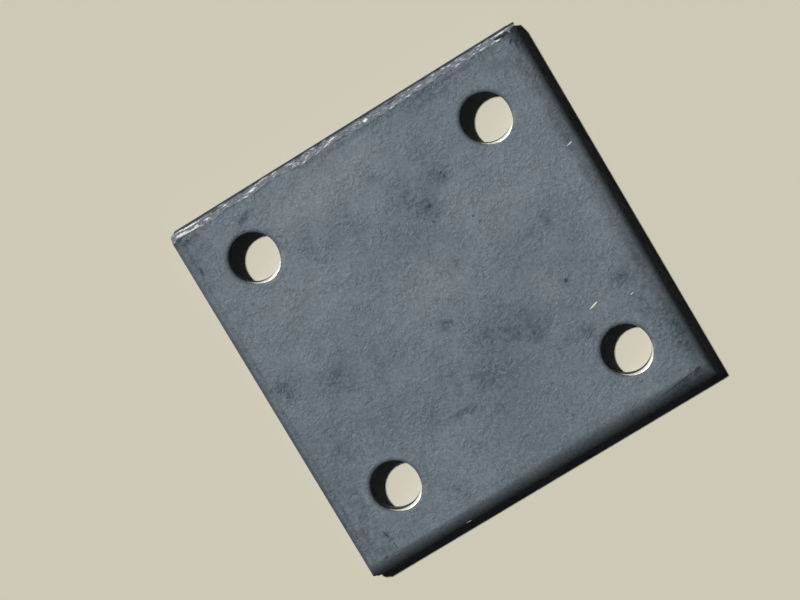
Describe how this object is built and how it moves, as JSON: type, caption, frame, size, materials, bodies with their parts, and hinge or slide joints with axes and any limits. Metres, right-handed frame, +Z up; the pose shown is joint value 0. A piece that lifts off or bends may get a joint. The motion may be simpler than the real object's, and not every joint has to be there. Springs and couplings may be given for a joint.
{
  "type": "steel plate",
  "caption": "Square hot-rolled steel plate with sheared sides and a punched bolt hole near each corner, for a post base or mounting pad.",
  "frame": {"origin": "middle of the underside of the plate's bounding box", "axes": "+Z up, out of the punched face; +Y to the sheared end whose torn face shows from above; +X to the sheared side, away from the rolled mill edge"},
  "size_m": [0.1546, 0.1538, 0.0095],
  "materials": {
    "mill_scale": "hot-rolled mill scale, dark blue-grey and satin, with bare steel on torn and rubbed edges"
  },
  "bodies": {
    "root": {"steel_plate": "mill_scale"}
  },
  "joints": []
}
